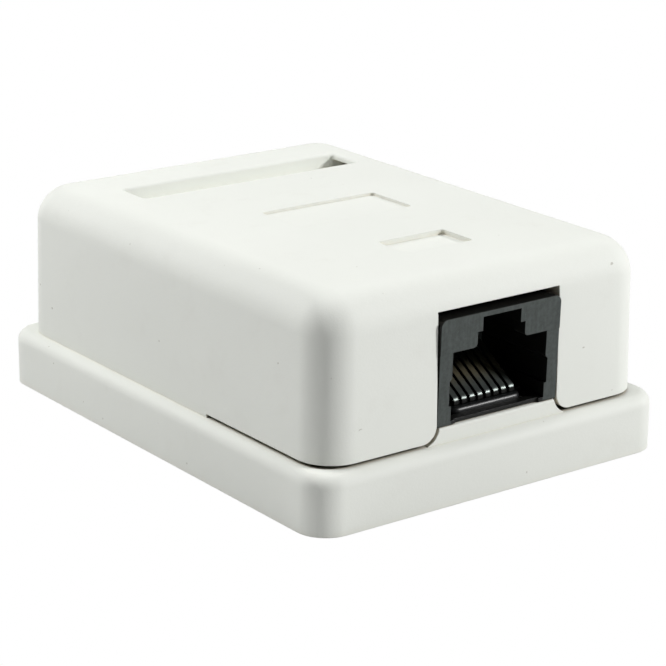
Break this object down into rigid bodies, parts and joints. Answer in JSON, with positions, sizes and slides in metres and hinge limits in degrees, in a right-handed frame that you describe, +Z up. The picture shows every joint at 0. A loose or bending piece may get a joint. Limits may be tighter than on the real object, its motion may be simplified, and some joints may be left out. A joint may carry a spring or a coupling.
{
  "type": "surface mount jack box",
  "caption": "Surface mount box with a modular network jack in its end face, a lift-off rounded cover, a low base tray and a wired board inside.",
  "frame": {"origin": "Middle of the base's footprint, on its underside.", "axes": "+X to the right of someone facing the port, +Y from the port to the back, +Z up from the wall or desk that the underside rests on."},
  "size_m": [0.0442, 0.0582, 0.0225],
  "materials": {
    "shell": "fine satin off-white moulding",
    "board": "green solder resist on glass laminate",
    "screw_steel": "zinc plated",
    "jack_black": "fine satin black moulding",
    "carrier_black": "polished black moulding",
    "contact_metal": "thin gold over nickel, slightly dull",
    "idc_plastic": "natural moulding",
    "clip_metal": "tin plated"
  },
  "bodies": {
    "box": {"base": "shell", "circuit_board": "board", "board_screws": "screw_steel", "jack_housing": "jack_black", "jack_contact_carrier": "carrier_black", "idc_block_left": "idc_plastic", "idc_block_right": "idc_plastic", "jack_contact_1": "contact_metal", "jack_contact_2": "contact_metal", "jack_contact_3": "contact_metal", "jack_contact_4": "contact_metal", "jack_contact_5": "contact_metal", "jack_contact_6": "contact_metal", "jack_contact_7": "contact_metal", "jack_contact_8": "contact_metal", "idc_clip_1": "clip_metal", "idc_clip_2": "clip_metal", "idc_clip_3": "clip_metal", "idc_clip_4": "clip_metal", "idc_clip_5": "clip_metal", "idc_clip_6": "clip_metal", "idc_clip_7": "clip_metal", "idc_clip_8": "clip_metal"},
    "cover": {"cover": "shell"}
  },
  "joints": [
    {"name": "cover_lift", "type": "slide", "parent": "box", "child": "cover", "axis": [0, 0, 1], "range_m": [0, 0.03]}
  ]
}
